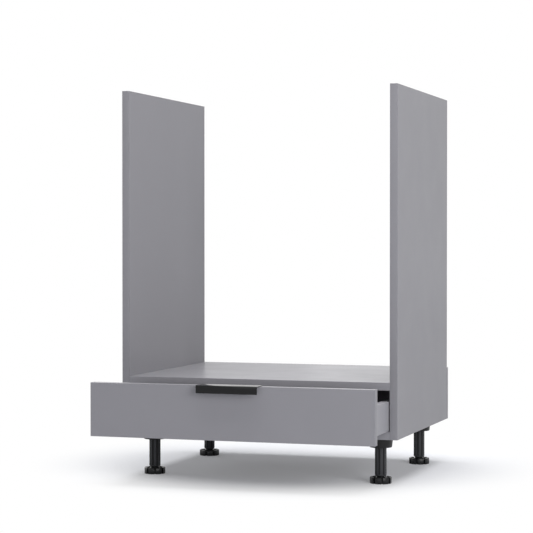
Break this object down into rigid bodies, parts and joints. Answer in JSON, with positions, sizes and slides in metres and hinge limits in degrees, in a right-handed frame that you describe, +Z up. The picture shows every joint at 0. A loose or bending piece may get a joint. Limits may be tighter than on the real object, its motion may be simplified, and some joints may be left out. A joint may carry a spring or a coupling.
{
  "type": "oven base cabinet",
  "caption": "Kitchen base cabinet for a built-in oven: open recess over a shelf, shallow drawer below on telescopic runners, black edge pull, levelling legs.",
  "frame": {"origin": "on the floor, in the middle of the width and depth that the part takes up as drawn, with the drawer 150 mm open", "axes": "+X to the right seen from the front, -Y towards the front, +Z up"},
  "size_m": [0.6, 0.66, 0.816],
  "materials": {
    "board": "chipboard faced with plain grey melamine, matt, edges banded in the same grey",
    "front_board": "chipboard faced with smooth grey melamine, matt, edges banded in the same grey",
    "black_plastic": "black moulded plastic, slightly satin",
    "black_metal": "sheet metal in matt black paint",
    "rail_steel": "bright zinc-plated steel",
    "ball_steel": "polished ball steel",
    "screw_steel": "zinc-plated steel",
    "bolt_steel": "zinc-plated steel",
    "zinc": "die-cast zinc alloy, bare",
    "beech": "raw beech",
    "nylon": "natural nylon",
    "clear_pad": "soft translucent pad"
  },
  "bodies": {
    "carcass": {"side_left": "board", "side_right": "board", "bottom_panel": "board", "oven_shelf": "board", "back_panel": "board", "cam_locks": "zinc", "cam_bolts": "bolt_steel", "dowels": "beech", "back_screws": "screw_steel", "leg_socket_front_left": "black_plastic", "leg_socket_front_right": "black_plastic", "leg_socket_rear_left": "black_plastic", "leg_socket_rear_right": "black_plastic", "leg_tube_front_left": "black_plastic", "leg_tube_front_right": "black_plastic", "leg_tube_rear_left": "black_plastic", "leg_tube_rear_right": "black_plastic", "socket_screws": "screw_steel", "cabinet_rail_left": "rail_steel", "cabinet_rail_right": "rail_steel", "cabinet_rail_screws": "screw_steel"},
    "middle_rails": {"middle_rail_left": "rail_steel", "middle_rail_right": "rail_steel"},
    "lower_ball_rows": {"lower_balls": "ball_steel", "lower_spacers": "nylon"},
    "upper_ball_rows": {"upper_balls": "ball_steel", "upper_spacers": "nylon"},
    "drawer": {"drawer_rail_left": "rail_steel", "drawer_rail_right": "rail_steel", "drawer_rail_screws": "screw_steel", "drawer_front": "front_board", "drawer_side_left": "board", "drawer_side_right": "board", "drawer_back": "board", "drawer_bottom": "board", "drawer_cam_locks": "zinc", "drawer_cam_bolts": "bolt_steel", "drawer_dowels": "beech", "drawer_back_screws": "screw_steel", "bumper_pads": "clear_pad", "edge_pull": "black_metal", "pull_screws": "black_metal"},
    "foot_front_left": {"foot_front_left": "black_plastic"},
    "foot_front_right": {"foot_front_right": "black_plastic"},
    "foot_rear_left": {"foot_rear_left": "black_plastic"},
    "foot_rear_right": {"foot_rear_right": "black_plastic"}
  },
  "joints": [
    {"name": "drawer_slide", "type": "slide", "parent": "carcass", "child": "drawer", "axis": [0, -1, 0], "range_m": [-0.15, 0.25]},
    {"name": "middle_rail_slide", "type": "slide", "parent": "carcass", "child": "middle_rails", "axis": [0, -1, 0], "range_m": [-0.075, 0.125]},
    {"name": "lower_ball_slide", "type": "slide", "parent": "carcass", "child": "lower_ball_rows", "axis": [0, -1, 0], "range_m": [-0.0375, 0.0625]},
    {"name": "upper_ball_slide", "type": "slide", "parent": "carcass", "child": "upper_ball_rows", "axis": [0, -1, 0], "range_m": [-0.1125, 0.1875]},
    {"name": "foot_height_front_left", "type": "slide", "parent": "carcass", "child": "foot_front_left", "axis": [0, 0, -1], "range_m": [-0.0025, 0.02]},
    {"name": "foot_height_front_right", "type": "slide", "parent": "carcass", "child": "foot_front_right", "axis": [0, 0, -1], "range_m": [-0.0025, 0.02]},
    {"name": "foot_height_rear_left", "type": "slide", "parent": "carcass", "child": "foot_rear_left", "axis": [0, 0, -1], "range_m": [-0.0025, 0.02]},
    {"name": "foot_height_rear_right", "type": "slide", "parent": "carcass", "child": "foot_rear_right", "axis": [0, 0, -1], "range_m": [-0.0025, 0.02]}
  ],
  "couplings": [
    {"joint": "middle_rail_slide", "follows": "drawer_slide", "ratio": 0.5},
    {"joint": "lower_ball_slide", "follows": "drawer_slide", "ratio": 0.25},
    {"joint": "upper_ball_slide", "follows": "drawer_slide", "ratio": 0.75}
  ]
}
